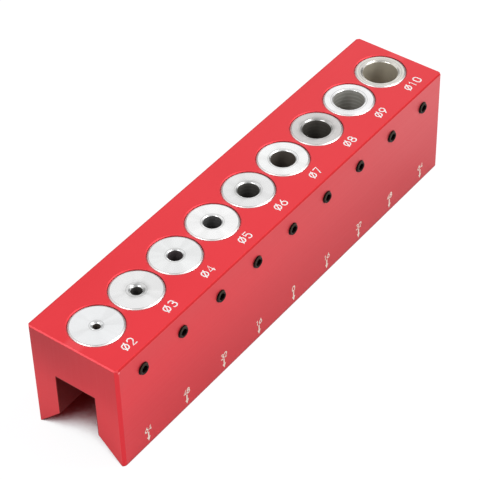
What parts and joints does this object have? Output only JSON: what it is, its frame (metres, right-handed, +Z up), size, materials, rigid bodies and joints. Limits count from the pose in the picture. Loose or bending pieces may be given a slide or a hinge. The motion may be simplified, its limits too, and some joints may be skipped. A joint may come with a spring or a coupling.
{
  "type": "drill guide",
  "caption": "Block-shaped drill guide with a row of clamped steel bushings of rising bore, a slot and a 90 degree vee underneath for edges and round stock.",
  "frame": {"origin": "centre of the block's footprint, on the plane it stands on, under the middle bushing's axis", "axes": "+X along the row from the smallest bore to the largest, +Y to the plain back face (set screws and scale are on -Y), +Z up along the bores, out of the bushings' mouths"},
  "size_m": [0.148, 0.0302, 0.035],
  "materials": {
    "anodised_aluminium": "satin red anodised",
    "hardened_steel": "ground and polished",
    "black_oxide_steel": "black oxide, satin"
  },
  "bodies": {
    "guide": {"guide_block": "anodised_aluminium", "bushing_2mm": "hardened_steel", "bushing_3mm": "hardened_steel", "bushing_4mm": "hardened_steel", "bushing_5mm": "hardened_steel", "bushing_6mm": "hardened_steel", "bushing_7mm": "hardened_steel", "bushing_8mm": "hardened_steel", "bushing_9mm": "hardened_steel", "bushing_10mm": "hardened_steel"},
    "set_screw_2mm": {"set_screw_2mm": "black_oxide_steel"},
    "set_screw_3mm": {"set_screw_3mm": "black_oxide_steel"},
    "set_screw_4mm": {"set_screw_4mm": "black_oxide_steel"},
    "set_screw_5mm": {"set_screw_5mm": "black_oxide_steel"},
    "set_screw_6mm": {"set_screw_6mm": "black_oxide_steel"},
    "set_screw_7mm": {"set_screw_7mm": "black_oxide_steel"},
    "set_screw_8mm": {"set_screw_8mm": "black_oxide_steel"},
    "set_screw_9mm": {"set_screw_9mm": "black_oxide_steel"},
    "set_screw_10mm": {"set_screw_10mm": "black_oxide_steel"}
  },
  "joints": [
    {"name": "set_screw_2mm_turn", "type": "hinge", "parent": "guide", "child": "set_screw_2mm", "pos_m": [-0.064, -0.01475, 0.0284], "axis": [0, -1, 0], "range_deg": [0, 720]},
    {"name": "set_screw_3mm_turn", "type": "hinge", "parent": "guide", "child": "set_screw_3mm", "pos_m": [-0.048, -0.01475, 0.0284], "axis": [0, -1, 0], "range_deg": [0, 720]},
    {"name": "set_screw_4mm_turn", "type": "hinge", "parent": "guide", "child": "set_screw_4mm", "pos_m": [-0.032, -0.01475, 0.0284], "axis": [0, -1, 0], "range_deg": [0, 720]},
    {"name": "set_screw_5mm_turn", "type": "hinge", "parent": "guide", "child": "set_screw_5mm", "pos_m": [-0.016, -0.01475, 0.0284], "axis": [0, -1, 0], "range_deg": [0, 720]},
    {"name": "set_screw_6mm_turn", "type": "hinge", "parent": "guide", "child": "set_screw_6mm", "pos_m": [0, -0.01475, 0.0284], "axis": [0, -1, 0], "range_deg": [0, 720]},
    {"name": "set_screw_7mm_turn", "type": "hinge", "parent": "guide", "child": "set_screw_7mm", "pos_m": [0.016, -0.01475, 0.0284], "axis": [0, -1, 0], "range_deg": [0, 720]},
    {"name": "set_screw_8mm_turn", "type": "hinge", "parent": "guide", "child": "set_screw_8mm", "pos_m": [0.032, -0.01475, 0.0284], "axis": [0, -1, 0], "range_deg": [0, 720]},
    {"name": "set_screw_9mm_turn", "type": "hinge", "parent": "guide", "child": "set_screw_9mm", "pos_m": [0.048, -0.01475, 0.0284], "axis": [0, -1, 0], "range_deg": [0, 720]},
    {"name": "set_screw_10mm_turn", "type": "hinge", "parent": "guide", "child": "set_screw_10mm", "pos_m": [0.064, -0.01475, 0.0284], "axis": [0, -1, 0], "range_deg": [0, 720]}
  ]
}
